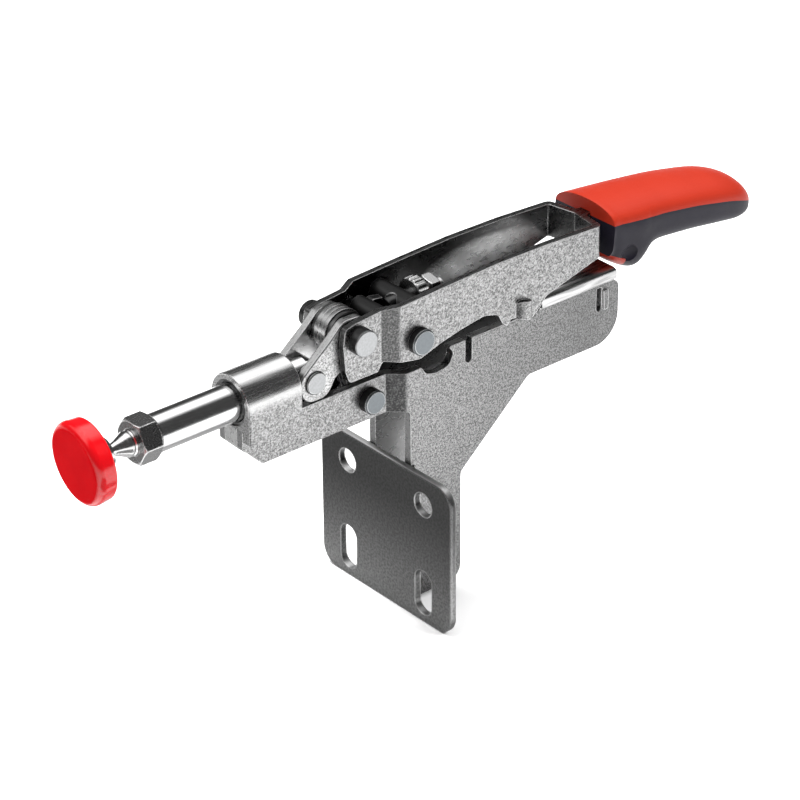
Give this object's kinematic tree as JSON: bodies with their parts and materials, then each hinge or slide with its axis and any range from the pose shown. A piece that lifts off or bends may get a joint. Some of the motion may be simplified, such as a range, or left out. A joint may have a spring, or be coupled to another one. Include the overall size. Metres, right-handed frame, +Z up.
{
  "type": "toggle clamp",
  "caption": "Push-pull toggle clamp: an upright flange carries a sliding plunger with a swivel pad, driven by a hand lever through toggle links.",
  "frame": {"origin": "midway between the two round holes of the flange, on the front face of the flange (the side of the pad)", "axes": "+X from the pad towards the grip, along the plunger; +Z up; the linkage lies symmetric about Y = 0"},
  "size_m": [0.2669, 0.063, 0.1152],
  "materials": {
    "plated_sheet": "fine-grained zinc-plated sheet steel, satin",
    "dark_satin_steel": "dark satin steel",
    "weld_metal": "dull plated weld",
    "polished_sleeve": "smooth plated steel",
    "polished_chrome": "polished chrome",
    "polished_steel": "bright plated steel",
    "pin_steel": "blue-grey matt pin ends with a bright rim",
    "bright_pin": "light satin pin ends",
    "nut_steel": "dark satin nut with bright edges",
    "red_pad": "glossy red cap",
    "grip_red": "satin orange-red plastic",
    "grip_dark": "satin anthracite plastic"
  },
  "bodies": {
    "base": {"mounting_flange": "dark_satin_steel", "body_plate_far": "plated_sheet", "body_plate_near": "plated_sheet", "weld_beads": "weld_metal", "guide_sleeve": "polished_sleeve", "guide_bush": "dark_satin_steel", "front_spacer": "dark_satin_steel", "lever_pivot_pin": "pin_steel", "handle_rest": "polished_steel"},
    "lever": {"lever_plate_middle": "plated_sheet", "lever_plates_outer": "plated_sheet", "pivot_washers": "dark_satin_steel", "handle_pivot_pin": "bright_pin"},
    "handle": {"handle_frame": "plated_sheet", "cross_pin": "pin_steel", "pressure_lever": "dark_satin_steel", "pressure_roller": "dark_satin_steel", "barrel_nut": "dark_satin_steel", "grip_shell": "grip_red", "grip_core": "grip_dark", "grip_insert": "grip_red"},
    "adjuster": {"adjusting_screw": "polished_steel", "knurled_wheel": "nut_steel", "adjusting_nut": "nut_steel"},
    "plunger": {"plunger_rod": "polished_chrome", "link_pin": "bright_pin"},
    "links": {"link_far": "plated_sheet", "link_near": "plated_sheet"},
    "nut": {"lock_nut": "nut_steel"},
    "stud": {"spindle": "polished_steel"},
    "pad": {"pad_plate": "polished_steel", "pad_cap": "red_pad"}
  },
  "joints": [
    {"name": "lever_swing", "type": "hinge", "parent": "base", "child": "lever", "pos_m": [-0.0105, 0, 0.0359], "axis": [0, 1, 0], "range_deg": [0, 34]},
    {"name": "handle_swing", "type": "hinge", "parent": "lever", "child": "handle", "pos_m": [-0.0178, 0, 0.0606], "axis": [0, -1, 0], "range_deg": [0, 76]},
    {"name": "plunger_slide", "type": "slide", "parent": "base", "child": "plunger", "axis": [1, 0, 0], "range_m": [0, 0.0156]},
    {"name": "link_swing", "type": "hinge", "parent": "plunger", "child": "links", "pos_m": [-0.0324, 0, 0.05007], "axis": [0, -1, 0], "range_deg": [0, 2.6]},
    {"name": "lock_nut_turn", "type": "hinge", "parent": "plunger", "child": "nut", "pos_m": [-0.091, 0, 0.05007], "axis": [1, 0, 0], "range_deg": [-180, 180]},
    {"name": "stud_turn", "type": "hinge", "parent": "plunger", "child": "stud", "pos_m": [-0.095, 0, 0.05007], "axis": [1, 0, 0], "range_deg": [-180, 180]},
    {"name": "pad_tilt", "type": "hinge", "parent": "stud", "child": "pad", "pos_m": [-0.1057, 0, 0.05007], "axis": [0, 1, 0], "range_deg": [-8, 8]},
    {"name": "screw_turn", "type": "hinge", "parent": "handle", "child": "adjuster", "pos_m": [0.0066, 0, 0.0615], "axis": [1, 0, 0], "range_deg": [-180, 180]}
  ],
  "couplings": [
    {"joint": "lever_swing", "follows": "handle_swing", "ratio": 0.44736},
    {"joint": "plunger_slide", "follows": "handle_swing", "m_per_rad": 0.011706},
    {"joint": "link_swing", "follows": "handle_swing", "ratio": 0.03301}
  ]
}
